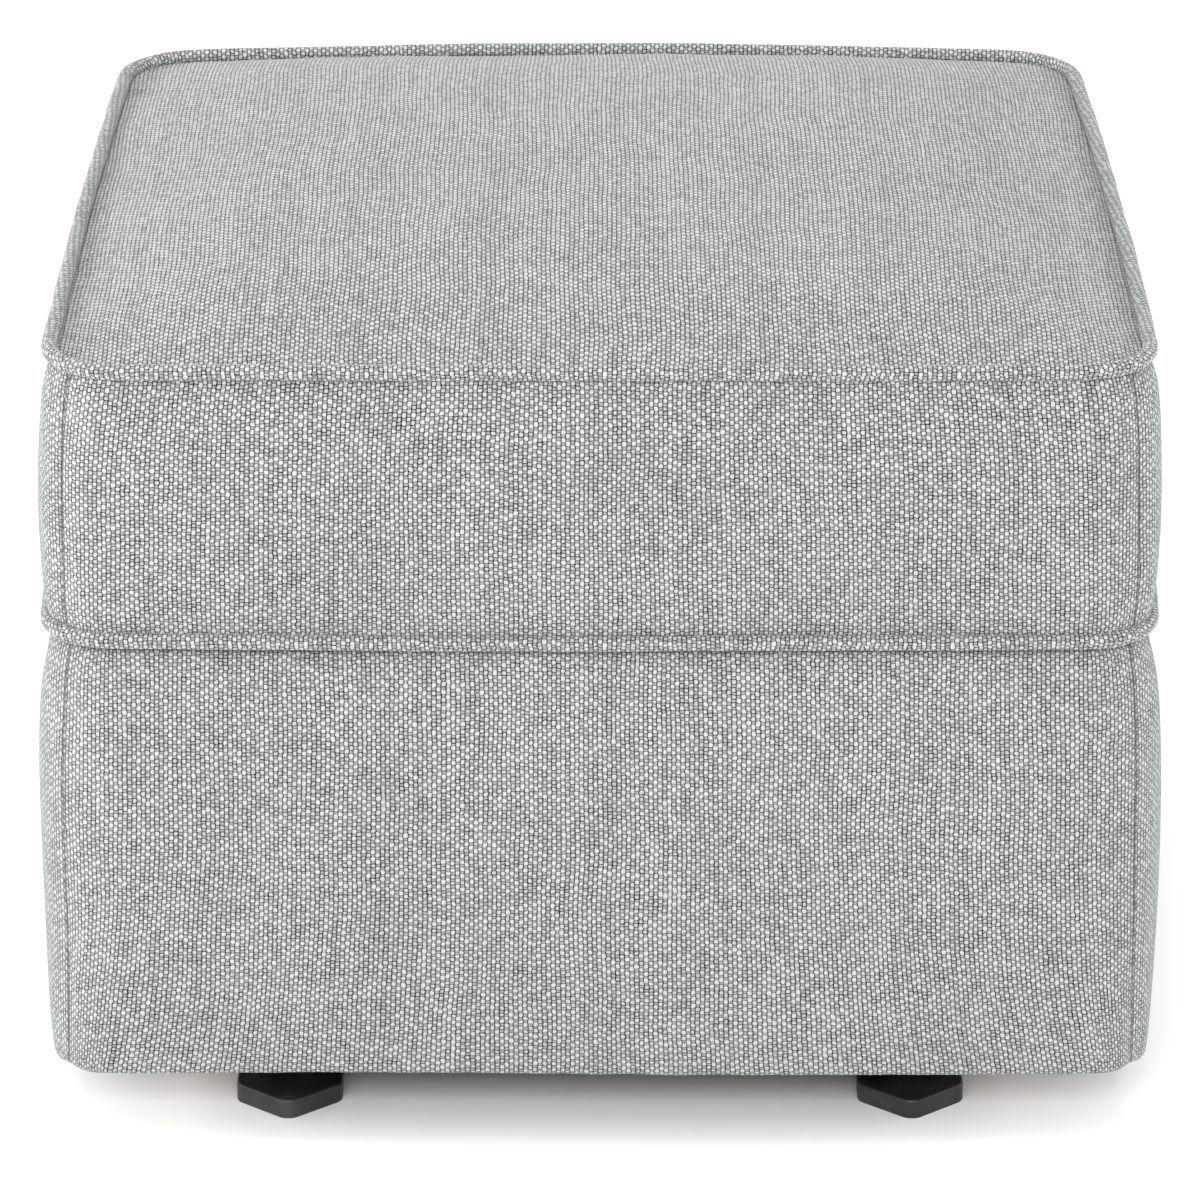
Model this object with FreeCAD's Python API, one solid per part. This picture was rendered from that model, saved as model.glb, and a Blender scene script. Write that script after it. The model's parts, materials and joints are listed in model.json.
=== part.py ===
import FreeCAD, Part
import math
import os

# A cushioned footstool whose upholstered box hangs on four swing links from a steel base,
# so that it glides to the front and to the back. Millimetres, +Z up, front towards -Y,
# and the origin is on the floor under the middle.

# Wooden box
box_width = 536.0
box_depth = 486.0
box_height = 231.0
board = 18.0
box_corner_radius = 15.0
hem_height = 40.0
deck_thickness = 12.0
cleat_size = 22.0
block_leg = 36.0
block_end_gap = 4.0

# Padding and cloth round the box
cloth = 2.0
pad_edge = 3.0
pad_swell = 13.5
body_corner_radius = 27.0
body_bow = 1.5

# Cushion
cushion_margin = 4.0
cushion_height = 143.0
boxing_swell = 8.0
side_bow = 7.0
front_bow = 3.0
cushion_corner_radius = 30.0
crown_height = 33.0
crown_power = 2.9
crown_edge = 1.0
crown_overrun = 1.5
fibre_depth = 25.0
base_cloth_inset = 8.0
welt_radius = 4.0
upper_welt_outset = 3.3
upper_welt_lift = 3.0
lower_welt_outset = 4.2
lower_welt_lift = 3.0

# Foot pads and their screws
pad_width = 55.0
pad_length = 65.0
pad_height = 10.5
pad_point = 22.0
pad_corner_radius = 8.0
pad_top_round = 1.5
pad_reach = 34.5
screw_radius = 3.0
screw_head_radius = 5.0
screw_head_height = 4.0
screw_clearance = 0.2
pad_screw_sink = 3.0
pad_screw_length = 15.0
pad_screw_inset = 15.0

# Steel base
runner_width = 24.0
runner_height = 20.0
runner_wall = 2.0
runner_side_inset = 88.0
runner_end_inset = 48.0
plug_lip = 2.0
plug_depth = 12.0
cross_tube_inset = 45.0

# Uprights
upright_thickness = 5.0
upright_foot = 56.0
upright_foot_width = 18.0
upright_top_radius = 15.0
upright_screw_spacing = 36.0
upright_screw_length = 12.0
pivot_inset = 110.0
deck_gap = 40.0

# Swing links, bushes and pivot bolts
link_width = 24.0
link_thickness = 5.0
bolt_radius = 4.0
bolt_head_across = 13.0
bolt_head_height = 5.0
nut_thickness = 5.0
bolt_tail = 0.7
nut_gap = 1.5
side_play = 0.3
bush_radius = 7.0
bush_flange_radius = 10.0
bush_flange = 1.5
upper_clearance = 0.08
lower_clearance = 0.25
swing_gap = 2.5

# Moving rails, stretchers and stops
rail_leg = 24.0
rail_shelf = 34.0
rail_thickness = 3.0
rail_end = 60.0
rail_screw_radius = 2.5
rail_screw_head = 5.0
rail_screw_length = 22.0
rail_screw_end = 25.0
stretcher_width = 36.0
stretcher_height = 40.0
stretcher_gap = 2.5
bumper_radius = 12.0
bumper_height = 120.0
bumper_gap = 0.5
stop_angle = 19.0

# The cushion's seam outline follows the wooden box
cushion_width = box_width + 2 * cushion_margin
cushion_depth = box_depth + 2 * cushion_margin

# Heights that follow from the sizes above
box_bottom = hem_height + cloth
box_top = box_bottom + box_height
cover_top = box_top + cloth
cushion_bottom = cover_top + cloth
seam_height = cushion_bottom + cushion_height
deck_bottom = box_top - deck_thickness
cleat_bottom = deck_bottom - cleat_size
runner_top = pad_height + runner_height
foot_top = runner_top + upright_thickness
rail_bottom = foot_top + screw_head_height + swing_gap
rail_top = rail_bottom + rail_leg
lower_pivot = rail_bottom + link_width / 2
upper_pivot = deck_bottom - deck_gap - upright_top_radius
link_length = upper_pivot - lower_pivot

# Places that follow, on the right and rear side
inner_x = box_width / 2 - board
inner_y = box_depth / 2 - board
runner_x = inner_x - runner_side_inset
runner_end = box_depth / 2 - runner_end_inset
pivot_y = inner_y - pivot_inset
upright_x = runner_x - runner_width / 2
spacer_start = upright_x + upright_thickness
spacer_end = spacer_start + nut_thickness + bolt_tail + nut_gap
bush_start = spacer_end + side_play
link_x = bush_start + bush_flange
bush_end = link_x + link_thickness + bush_flange
rail_x = bush_end + side_play
stretcher_x = rail_x + rail_thickness + stretcher_gap

# Share of the swell at each share of the height, from the lower edge to the upper one
body_levels = [(0.0, 0.0), (0.05, 0.5), (0.2, 0.92), (0.5, 1.0), (0.8, 0.96), (0.95, 0.65), (1.0, 0.05)]
cushion_levels = [(0.0, -0.3), (0.12, 0.6), (0.45, 1.0), (0.8, 0.8), (1.0, 0.0)]

SIDES = {"left": -1, "right": 1}
ENDS = {"front": -1, "rear": 1}


def point(x, y, z):
    return FreeCAD.Vector(x, y, z)


def block(x0, x1, y0, y1, z0, z1):
    low = point(min(x0, x1), min(y0, y1), min(z0, z1))
    return Part.makeBox(abs(x1 - x0), abs(y1 - y0), abs(z1 - z0), low)


def rod_x(x0, x1, y, z, radius):
    return Part.makeCylinder(radius, x1 - x0, point(x0, y, z), point(1, 0, 0))


def rod_y(x, y0, y1, z, radius):
    return Part.makeCylinder(radius, y1 - y0, point(x, y0, z), point(0, 1, 0))


def rod_z(x, y, z0, z1, radius):
    return Part.makeCylinder(radius, z1 - z0, point(x, y, z0), point(0, 0, 1))


def hexagon_x(x0, x1, y, z, across):
    corner = across / math.sqrt(3)
    turns = [math.radians(60 * i) for i in range(7)]
    loop = Part.makePolygon([point(x0, y + corner * math.cos(t), z + corner * math.sin(t)) for t in turns])
    return Part.Face(loop).extrude(point(x1 - x0, 0, 0))


def arc(start, middle, end):
    return Part.Arc(point(*start), point(*middle), point(*end)).toShape()


def line(start, end):
    return Part.LineSegment(point(*start), point(*end)).toShape()


def placed(shape, side, end):
    """A copy for the left or right side and the front or rear end, from the right rear one."""
    copy = shape
    if side < 0:
        copy = copy.mirror(point(0, 0, 0), point(1, 0, 0))
    if end < 0:
        copy = copy.mirror(point(0, 0, 0), point(0, 1, 0))
    return copy


def four(shape):
    """One group of the four corner copies of a right rear shape."""
    return Part.Compound([placed(shape, s, e) for s in SIDES.values() for e in ENDS.values()])


def bow_arc(half, half_span, bow):
    """Radius and centre distance of an arc that bows out by bow over its span."""
    radius = (half_span**2 + bow**2) / (2 * bow)
    return radius, half + bow - radius


def outline(z, half_x, half_y, bow_x, bow_y, radius):
    """A closed loop of four gently bowed sides with a tangent arc at each corner."""
    side_radius, side_centre = bow_arc(half_x, half_y, bow_x)
    end_radius, end_centre = bow_arc(half_y, half_x, bow_y)
    span = math.hypot(side_centre, end_centre)
    along = (side_radius - radius) ** 2 - (end_radius - radius) ** 2 + span**2
    along /= 2 * span
    across = math.sqrt((side_radius - radius) ** 2 - along**2)
    ux = -side_centre / span
    uy = end_centre / span
    cx = side_centre + along * ux - across * uy
    cy = along * uy + across * ux
    side_turn = math.atan2(cy, cx - side_centre)
    end_turn = math.atan2(cy - end_centre, cx)
    middle_turn = (side_turn + end_turn) / 2
    tx = cx + radius * math.cos(side_turn)
    ty = cy + radius * math.sin(side_turn)
    mx = cx + radius * math.cos(middle_turn)
    my = cy + radius * math.sin(middle_turn)
    ex = cx + radius * math.cos(end_turn)
    ey = cy + radius * math.sin(end_turn)
    far_x = half_x + bow_x
    far_y = half_y + bow_y
    edges = [
        arc((tx, -ty, z), (far_x, 0, z), (tx, ty, z)),
        arc((tx, ty, z), (mx, my, z), (ex, ey, z)),
        arc((ex, ey, z), (0, far_y, z), (-ex, ey, z)),
        arc((-ex, ey, z), (-mx, my, z), (-tx, ty, z)),
        arc((-tx, ty, z), (-far_x, 0, z), (-tx, -ty, z)),
        arc((-tx, -ty, z), (-mx, -my, z), (-ex, -ey, z)),
        arc((-ex, -ey, z), (0, -far_y, z), (ex, -ey, z)),
        arc((ex, -ey, z), (mx, -my, z), (tx, -ty, z)),
    ]
    return Part.Wire(edges)


def body_form(skin):
    """The padded box with its drawn-in upper and lower edges, skin less on every side."""
    height = cover_top - hem_height
    loops = []
    for share, swell in body_levels:
        reach = pad_edge + swell * pad_swell + cloth - skin
        half_x = box_width / 2 + reach
        half_y = box_depth / 2 + reach
        z = hem_height + share * height
        loops.append(outline(z, half_x, half_y, body_bow, body_bow, body_corner_radius - skin))
    return Part.makeLoft(loops, True, False)


def cushion_form(skin):
    """The cushion up to its upper seam, with swelling sides, skin less on every side."""
    loops = []
    for share, swell in cushion_levels:
        half_x = cushion_width / 2 + swell * boxing_swell - skin
        half_y = cushion_depth / 2 + swell * boxing_swell - skin
        z = cushion_bottom + share * cushion_height
        loops.append(outline(z, half_x, half_y, side_bow, front_bow, cushion_corner_radius - skin))
    return Part.makeLoft(loops, True, False)


def crown_section(y, half, rise):
    """A slice across the crowned top, flat below and arched above."""
    depth_share = y / (cushion_depth / 2 + front_bow + crown_overrun)

    def height(share):
        fall = (1 - abs(share) ** crown_power) * (1 - abs(depth_share) ** crown_power)
        return seam_height + crown_edge + rise + crown_height * fall

    def at(share):
        return (share * half, y, height(share))

    shoulder = 0.62
    bend = 0.84
    edges = [
        line((-half, y, seam_height), (half, y, seam_height)),
        line((half, y, seam_height), at(1)),
        arc(at(1), at(bend), at(shoulder)),
        arc(at(shoulder), at(0), at(-shoulder)),
        arc(at(-shoulder), at(-bend), at(-1)),
        line(at(-1), (-half, y, seam_height)),
    ]
    return Part.Wire(edges)


def crown_form(rise, skin):
    """The crowned top above the upper seam, trimmed to the cushion's outline."""
    side_radius, side_centre = bow_arc(cushion_width / 2, cushion_depth / 2, side_bow)
    reach = cushion_depth / 2 + front_bow + crown_edge
    shares = [-1.0, -0.9, -0.7, -0.4, 0.0, 0.4, 0.7, 0.9, 1.0]
    sections = []
    for share in shares:
        y = share * reach
        half = side_centre + math.sqrt(side_radius**2 - y**2) + crown_edge
        sections.append(crown_section(y, half, rise))
    arched = Part.makeLoft(sections, True, False)
    half_x = cushion_width / 2 - skin
    half_y = cushion_depth / 2 - skin
    loop = outline(seam_height, half_x, half_y, side_bow, front_bow, cushion_corner_radius - skin)
    tower = Part.Face(loop).extrude(point(0, 0, 2 * crown_height))
    return arched.common(tower)


def quarter(name, z0, z1):
    """A prism that holds one side's share of a ring, mitred through the box's corners."""
    far = box_width
    lean = box_width / 2 - box_depth / 2
    loops = {
        "front": [(-lean, 0), (lean, 0), (lean + far, -far), (-lean - far, -far)],
        "back": [(-lean, 0), (lean, 0), (lean + far, far), (-lean - far, far)],
        "right": [(lean, 0), (lean + far, -far), (lean + far, far)],
        "left": [(-lean, 0), (-lean - far, -far), (-lean - far, far)],
    }
    corners = [point(x, y, z0) for x, y in loops[name]]
    return Part.Face(Part.makePolygon(corners + corners[:1])).extrude(point(0, 0, z1 - z0))


def split_round(prefix, ring):
    """One node for each side of a ring that goes round the box."""
    return {prefix + name: ring.common(quarter(name, 0, 2 * seam_height))
            for name in ("front", "back", "left", "right")}


def foot_pad():
    half = pad_width / 2
    tip = runner_end + pad_reach
    heel = tip - pad_length
    plan = [
        (0, tip), (half, tip - pad_point), (half, heel + pad_point),
        (0, heel), (-half, heel + pad_point), (-half, tip - pad_point), (0, tip),
    ]
    loop = Part.makePolygon([point(runner_x + x, y, 0) for x, y in plan])
    body = Part.Face(loop).extrude(point(0, 0, pad_height))
    upright_edges = [e for e in body.Edges if abs(e.tangentAt(e.FirstParameter).z) > 0.9]
    body = body.makeFillet(pad_corner_radius, upright_edges)
    top_edges = [e for e in body.Edges if e.BoundBox.ZMin > pad_height - 0.01]
    body = body.makeFillet(pad_top_round, top_edges)
    y = runner_end - pad_screw_inset
    shank = rod_z(runner_x, y, 0, pad_height, screw_radius + screw_clearance)
    sink_top = pad_screw_sink + screw_head_height
    sink = rod_z(runner_x, y, 0, sink_top, screw_head_radius + screw_clearance)
    return body.cut(shank).cut(sink)


def foot_pad_screw():
    y = runner_end - pad_screw_inset
    seat = pad_screw_sink + screw_head_height
    head = rod_z(runner_x, y, pad_screw_sink, seat, screw_head_radius)
    return head.fuse(rod_z(runner_x, y, seat, seat + pad_screw_length, screw_radius))


def upright_screw_places():
    x = upright_x + (upright_thickness + upright_foot_width) / 2
    return [(x, pivot_y + step * upright_screw_spacing / 2) for step in (-1, 1)]


def runner():
    half = runner_width / 2
    wall = runner_wall
    tube = block(runner_x - half, runner_x + half, -runner_end, runner_end, pad_height, runner_top)
    hollow = block(runner_x - half + wall, runner_x + half - wall, -runner_end, runner_end,
                   pad_height + wall, runner_top - wall)
    tube = tube.cut(hollow)
    hole = screw_radius + screw_clearance
    for end in ENDS.values():
        y = end * (runner_end - pad_screw_inset)
        tube = tube.cut(rod_z(runner_x, y, pad_height, pad_height + wall, hole))
        for x, along in upright_screw_places():
            tube = tube.cut(rod_z(x, end * along, runner_top - wall, runner_top, hole))
    return tube


def runner_plug():
    half = runner_width / 2
    lip = block(runner_x - half, runner_x + half, runner_end, runner_end + plug_lip, pad_height, runner_top)
    wall = runner_wall
    stem = block(runner_x - half + wall, runner_x + half - wall, runner_end - plug_depth, runner_end,
                 pad_height + wall, runner_top - wall)
    y = runner_end - pad_screw_inset
    screw_room = rod_z(runner_x, y, pad_height, runner_top, screw_head_radius)
    return lip.fuse(stem).cut(screw_room)


def cross_tube():
    reach = runner_x - runner_width / 2
    y = runner_end - cross_tube_inset
    half = runner_height / 2
    tube = block(-reach, reach, y - half, y + half, pad_height, runner_top)
    wall = runner_wall
    hollow = block(-reach, reach, y - half + wall, y + half - wall, pad_height + wall, runner_top - wall)
    return tube.cut(hollow)


def upright():
    half = upright_foot / 2
    top = upright_top_radius
    x = upright_x
    edges = [
        line((x, pivot_y - half, runner_top), (x, pivot_y + half, runner_top)),
        line((x, pivot_y + half, runner_top), (x, pivot_y + top, upper_pivot)),
        arc((x, pivot_y + top, upper_pivot), (x, pivot_y, upper_pivot + top), (x, pivot_y - top, upper_pivot)),
        line((x, pivot_y - top, upper_pivot), (x, pivot_y - half, runner_top)),
    ]
    plate = Part.Face(Part.Wire(edges)).extrude(point(upright_thickness, 0, 0))
    foot = block(x, x + upright_foot_width, pivot_y - half, pivot_y + half, runner_top, foot_top)
    bracket = plate.fuse(foot)
    bracket = bracket.cut(rod_x(x, spacer_start, pivot_y, upper_pivot, bolt_radius))
    for sx, sy in upright_screw_places():
        bracket = bracket.cut(rod_z(sx, sy, runner_top, foot_top, screw_radius + screw_clearance))
    return bracket.removeSplitter()


def upright_screws():
    solids = []
    for x, y in upright_screw_places():
        head = rod_z(x, y, foot_top, foot_top + screw_head_height, screw_head_radius)
        solids.append(head.fuse(rod_z(x, y, foot_top - upright_screw_length, foot_top, screw_radius)))
    return Part.Compound(solids)


def pivot_spacer():
    sleeve = rod_x(spacer_start, spacer_end, pivot_y, upper_pivot, bush_radius)
    return sleeve.cut(rod_x(spacer_start, spacer_end, pivot_y, upper_pivot, bolt_radius))


def nut(start, end, z):
    body = hexagon_x(start, end, pivot_y, z, bolt_head_across)
    return body.cut(rod_x(start, end, pivot_y, z, bolt_radius))


def upper_bolt():
    head = hexagon_x(upright_x - bolt_head_height, upright_x, pivot_y, upper_pivot, bolt_head_across)
    end = bush_end + side_play + nut_thickness + bolt_tail
    return head.fuse(rod_x(upright_x, end, pivot_y, upper_pivot, bolt_radius))


def upper_nut():
    start = bush_end + side_play
    return nut(start, start + nut_thickness, upper_pivot)


def lower_bolt():
    outside = rail_x + rail_thickness
    head = hexagon_x(outside, outside + bolt_head_height, pivot_y, lower_pivot, bolt_head_across)
    return head.fuse(rod_x(spacer_end - nut_thickness - bolt_tail, outside, pivot_y, lower_pivot, bolt_radius))


def lower_nut():
    return nut(spacer_end - nut_thickness, spacer_end, lower_pivot)


def link():
    half = link_width / 2
    x = link_x
    edges = [
        line((x, pivot_y + half, lower_pivot), (x, pivot_y + half, upper_pivot)),
        arc((x, pivot_y + half, upper_pivot), (x, pivot_y, upper_pivot + half), (x, pivot_y - half, upper_pivot)),
        line((x, pivot_y - half, upper_pivot), (x, pivot_y - half, lower_pivot)),
        arc((x, pivot_y - half, lower_pivot), (x, pivot_y, lower_pivot - half), (x, pivot_y + half, lower_pivot)),
    ]
    bar = Part.Face(Part.Wire(edges)).extrude(point(link_thickness, 0, 0))
    for z in (lower_pivot, upper_pivot):
        bar = bar.cut(rod_x(x, x + link_thickness, pivot_y, z, bush_radius))
    return bar


def bush(z, clearance):
    barrel = rod_x(link_x, link_x + link_thickness, pivot_y, z, bush_radius)
    inner = rod_x(bush_start, link_x, pivot_y, z, bush_flange_radius)
    outer = rod_x(link_x + link_thickness, bush_end, pivot_y, z, bush_flange_radius)
    bore = rod_x(bush_start, bush_end, pivot_y, z, bolt_radius + clearance)
    return barrel.fuse(inner).fuse(outer).cut(bore)


def link_bushes():
    return Part.Compound([bush(upper_pivot, upper_clearance), bush(lower_pivot, lower_clearance)])


def rail_screw_places():
    x = rail_x + rail_thickness + rail_shelf / 2
    last = pivot_y + rail_end - rail_screw_end
    return [(x, y) for y in (-last, 0.0, last)]


def glide_rail():
    end = pivot_y + rail_end
    outside = rail_x + rail_thickness
    leg = block(rail_x, outside, -end, end, rail_bottom, rail_top)
    shelf = block(outside, outside + rail_shelf, -end, end, rail_top - rail_thickness, rail_top)
    rail = leg.fuse(shelf).removeSplitter()
    for y in (-pivot_y, pivot_y):
        rail = rail.cut(rod_x(rail_x, outside, y, lower_pivot, bolt_radius))
    for x, y in rail_screw_places():
        rail = rail.cut(rod_z(x, y, rail_top - rail_thickness, rail_top, rail_screw_radius))
    return rail


def glide_rail_screws():
    solids = []
    under = rail_top - rail_thickness
    for x, y in rail_screw_places():
        head = rod_z(x, y, under - rail_thickness, under, rail_screw_head)
        solids.append(head.fuse(rod_z(x, y, under, under + rail_screw_length, rail_screw_radius)))
    return Part.Compound(solids)


def stretcher():
    bar = block(stretcher_x, stretcher_x + stretcher_width, -inner_y, inner_y,
                rail_top, rail_top + stretcher_height)
    top = rail_top - rail_thickness + rail_screw_length
    for x, y in rail_screw_places():
        bar = bar.cut(rod_z(x, y, rail_top, top, rail_screw_radius))
    return bar


def box_end_board():
    board_shape = block(-box_width / 2, box_width / 2, inner_y, box_depth / 2, box_bottom, box_top)
    outer = [e for e in board_shape.Edges
             if e.BoundBox.YMin > box_depth / 2 - 0.01 and e.BoundBox.ZLength > board]
    return board_shape.makeFillet(box_corner_radius, outer)


def box_side_board():
    return block(inner_x, box_width / 2, -inner_y, inner_y, box_bottom, box_top)


def corner_block():
    corners = [(inner_x, inner_y), (inner_x - block_leg, inner_y), (inner_x, inner_y - block_leg)]
    z = box_bottom + block_end_gap
    loop = Part.makePolygon([point(x, y, z) for x, y in corners + corners[:1]])
    return Part.Face(loop).extrude(point(0, 0, cleat_bottom - z))


def deck_cleats():
    reach_x = inner_x - block_leg
    reach_y = inner_y - block_leg
    rear = block(-reach_x, reach_x, inner_y - cleat_size, inner_y, cleat_bottom, deck_bottom)
    right = block(inner_x - cleat_size, inner_x, -reach_y, reach_y, cleat_bottom, deck_bottom)
    return Part.Compound([rear, placed(rear, 1, -1), right, placed(right, -1, 1)])


def deck_board():
    return block(-inner_x, inner_x, -inner_y, inner_y, deck_bottom, box_top)


def stop_bumper():
    """A rubber stop on the end board that meets the upright's edge at the end of the glide."""
    share = (bumper_height - runner_top) / (upper_pivot - runner_top)
    upright_half = upright_foot / 2 + share * (upright_top_radius - upright_foot / 2)
    travel = link_length * math.sin(math.radians(stop_angle))
    length = pivot_inset - upright_half - travel - bumper_gap
    x = upright_x + upright_thickness / 2
    body = rod_y(x, inner_y - length, inner_y, bumper_height, bumper_radius)
    nose = [e for e in body.Edges if e.BoundBox.YMax < inner_y - length + 0.01]
    return body.makeFillet(bumper_radius / 4, nose)


def box_outer_form():
    """The wooden box as one block, which the padding is laid round."""
    form = block(-box_width / 2, box_width / 2, -box_depth / 2, box_depth / 2, box_bottom, box_top)
    corners = [e for e in form.Edges if e.BoundBox.ZLength > board]
    return form.makeFillet(box_corner_radius, corners)


def body_padding():
    outer = body_form(cloth)
    slab = block(-box_width, box_width, -box_width, box_width, box_bottom, box_top)
    return outer.common(slab).cut(box_outer_form())


def body_covers():
    """Cloth that goes round the padding and is turned in over and under the boards."""
    slab = block(-box_width, box_width, -box_width, box_width, box_bottom, box_top)
    shell = body_form(0.0).cut(body_form(cloth).common(slab))
    mouth = block(-inner_x, inner_x, -inner_y, inner_y, hem_height, cover_top)
    return shell.cut(mouth)


def cushion_base_cloth():
    half_x = cushion_width / 2 - base_cloth_inset
    half_y = cushion_depth / 2 - base_cloth_inset
    loop = outline(cover_top, half_x, half_y, side_bow, front_bow, cushion_corner_radius)
    return Part.Face(loop).extrude(point(0, 0, cloth))


def cushion_foam():
    top = seam_height - fibre_depth
    slab = block(-box_width, box_width, -box_width, box_width, cushion_bottom, top)
    return cushion_form(cloth).common(slab)


def cushion_fibre():
    slab = block(-box_width, box_width, -box_width, box_width, seam_height - fibre_depth, seam_height)
    layer = cushion_form(cloth).common(slab)
    return layer.fuse(crown_form(0.0, cloth)).removeSplitter()


def cushion_top_panel():
    return crown_form(cloth, 0.0).cut(crown_form(0.0, cloth))


def cushion_boxing():
    return cushion_form(0.0).cut(cushion_form(cloth))


def welt(z, outset):
    """Covered cord that lies along a seam, just proud of the panels that it joins."""
    half_x = cushion_width / 2 + outset
    half_y = cushion_depth / 2 + outset
    path = outline(z, half_x, half_y, side_bow, front_bow, cushion_corner_radius + outset)
    first = path.Edges[0]
    start = first.valueAt(first.FirstParameter)
    along = first.tangentAt(first.FirstParameter)
    ring = Part.Wire(Part.makeCircle(welt_radius, start, along))
    return path.makePipeShell([ring], True, False)


def base_nodes():
    nodes = {}
    for end_name, end in ENDS.items():
        for side_name, side in SIDES.items():
            place = end_name + "_" + side_name
            nodes["foot_pad_" + place] = placed(foot_pad(), side, end)
            nodes["upright_" + place] = placed(upright(), side, end)
        nodes["cross_tube_" + end_name] = placed(cross_tube(), 1, end)
    for side_name, side in SIDES.items():
        nodes["runner_" + side_name] = placed(runner(), side, 1)
    nodes["foot_pad_screws"] = four(foot_pad_screw())
    nodes["runner_end_plugs"] = four(runner_plug())
    nodes["upright_screws"] = four(upright_screws())
    nodes["pivot_spacers"] = four(pivot_spacer())
    nodes["upper_pivot_bolts"] = four(upper_bolt())
    nodes["upper_pivot_nuts"] = four(upper_nut())
    return nodes


def link_nodes():
    nodes = {}
    for end_name, end in ENDS.items():
        for side_name, side in SIDES.items():
            place = end_name + "_" + side_name
            nodes["link_" + place] = placed(link(), side, end)
            nodes["link_bushes_" + place] = placed(link_bushes(), side, end)
    return nodes


def carriage_nodes():
    nodes = {}
    for side_name, side in SIDES.items():
        nodes["glide_rail_" + side_name] = placed(glide_rail(), side, 1)
        nodes["stretcher_" + side_name] = placed(stretcher(), side, 1)
        nodes["box_board_" + side_name] = placed(box_side_board(), side, 1)
    nodes["box_board_back"] = box_end_board()
    nodes["box_board_front"] = placed(box_end_board(), 1, -1)
    screws = glide_rail_screws()
    nodes["glide_rail_screws"] = Part.Compound([screws, placed(screws, -1, 1)])
    nodes["lower_pivot_bolts"] = four(lower_bolt())
    nodes["lower_pivot_nuts"] = four(lower_nut())
    nodes["corner_blocks"] = four(corner_block())
    nodes["deck_cleats"] = deck_cleats()
    nodes["deck_board"] = deck_board()
    nodes["stop_bumpers"] = four(stop_bumper())
    return nodes


def soft_nodes():
    nodes = {}
    nodes.update(split_round("base_pad_", body_padding()))
    nodes.update(split_round("base_cover_", body_covers()))
    nodes.update(split_round("cushion_boxing_", cushion_boxing()))
    nodes["cushion_base_cloth"] = cushion_base_cloth()
    nodes["cushion_foam"] = cushion_foam()
    nodes["cushion_fibre"] = cushion_fibre()
    nodes["cushion_top_panel"] = cushion_top_panel()
    nodes["welt_lower"] = welt(cushion_bottom + lower_welt_lift, lower_welt_outset)
    nodes["welt_upper"] = welt(seam_height + crown_edge + cloth + upper_welt_lift, upper_welt_outset)
    return nodes


def main():
    os.makedirs("parts", exist_ok=True)
    nodes = {**base_nodes(), **link_nodes(), **carriage_nodes(), **soft_nodes()}
    for name, shape in nodes.items():
        shape.exportStep("parts/" + name + ".step")
    print(len(nodes), "nodes, link length", round(link_length, 2))


main()
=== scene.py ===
import json
import math

import bpy
import numpy as np
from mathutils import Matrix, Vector, noise


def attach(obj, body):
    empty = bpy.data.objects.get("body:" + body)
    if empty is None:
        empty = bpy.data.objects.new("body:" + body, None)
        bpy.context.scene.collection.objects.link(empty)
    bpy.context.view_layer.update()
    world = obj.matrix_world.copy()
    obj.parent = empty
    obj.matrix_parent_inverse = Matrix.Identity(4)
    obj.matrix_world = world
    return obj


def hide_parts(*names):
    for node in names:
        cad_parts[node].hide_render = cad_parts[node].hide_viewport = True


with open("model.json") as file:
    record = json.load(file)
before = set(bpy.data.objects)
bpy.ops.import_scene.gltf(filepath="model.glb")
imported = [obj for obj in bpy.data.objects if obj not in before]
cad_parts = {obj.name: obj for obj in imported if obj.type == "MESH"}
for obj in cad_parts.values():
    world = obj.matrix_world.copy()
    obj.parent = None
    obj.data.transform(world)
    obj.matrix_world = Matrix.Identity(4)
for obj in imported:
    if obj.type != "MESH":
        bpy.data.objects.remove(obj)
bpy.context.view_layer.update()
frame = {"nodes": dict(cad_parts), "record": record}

# The cloth, welts and finishes of a gliding ottoman, in metres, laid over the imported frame.

# Camera of the photograph
CAMERA_PLACE = (0.0, -3.085, 1.5)
CAMERA_PITCH = 22.91
CAMERA_LENS = 185.8

# Plan sizes near those of the solids: half widths, bows of the sides and corner radii
CUSHION_HALF = (0.272, 0.247)
CUSHION_BOW = (0.007, 0.003)
CUSHION_CORNER = 0.031
TOP_HALF = (0.2705, 0.247)
TOP_BOW = (0.002, 0.007)
TOP_CORNER = 0.038
TOP_TAPER = 0.032
TOP_ARCH = 0.0027
BASE_HALF = (0.273, 0.248)
BASE_BOW = (0.0015, 0.0015)
BASE_CORNER = 0.034
HEM_CORNER = 0.018
BOARD_INSIDE = (0.250, 0.225)

# Heights
HEM = 0.040
BASE_TOP = 0.275
CUSHION_BOTTOM = 0.277
SEAM_HEIGHT = 0.4195
CROWN_HEIGHT = 0.0275
CROWN_POWER = 3.8
WELT_RADIUS = 0.004
UPPER_WELT_LIFT = 0.0028
UPPER_WELT_OUTSET = 0.0020
LOWER_WELT_LIFT = 0.003
LOWER_WELT_OUTSET = 0.0038

# Swell of the sides at each share of their height
CUSHION_SWELL = 0.0065
CUSHION_LEVELS = [(0.0, 0.2), (0.05, 0.66), (0.12, 0.84), (0.25, 0.95), (0.5, 1.0), (0.8, 0.95),
                  (0.93, 0.72), (1.0, 0.1)]
BASE_SWELL = 0.0115
BASE_LEVELS = [(0.0, 0.72), (0.04, 0.86), (0.12, 0.93), (0.22, 0.97), (0.45, 1.0), (0.65, 0.97),
               (0.8, 0.86), (0.9, 0.7), (0.96, 0.5), (1.0, 0.12)]

# Mesh counts: quads along the front, along a side and round half a corner, and rows up the sides
FRONT_QUADS = 84
SIDE_QUADS = 76
CORNER_QUADS = 5
CUSHION_ROWS = 24
BASE_ROWS = 38
HEM_ROWS = 5
WELT_SECTIONS = 900
WELT_SPOKES = 14

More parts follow.
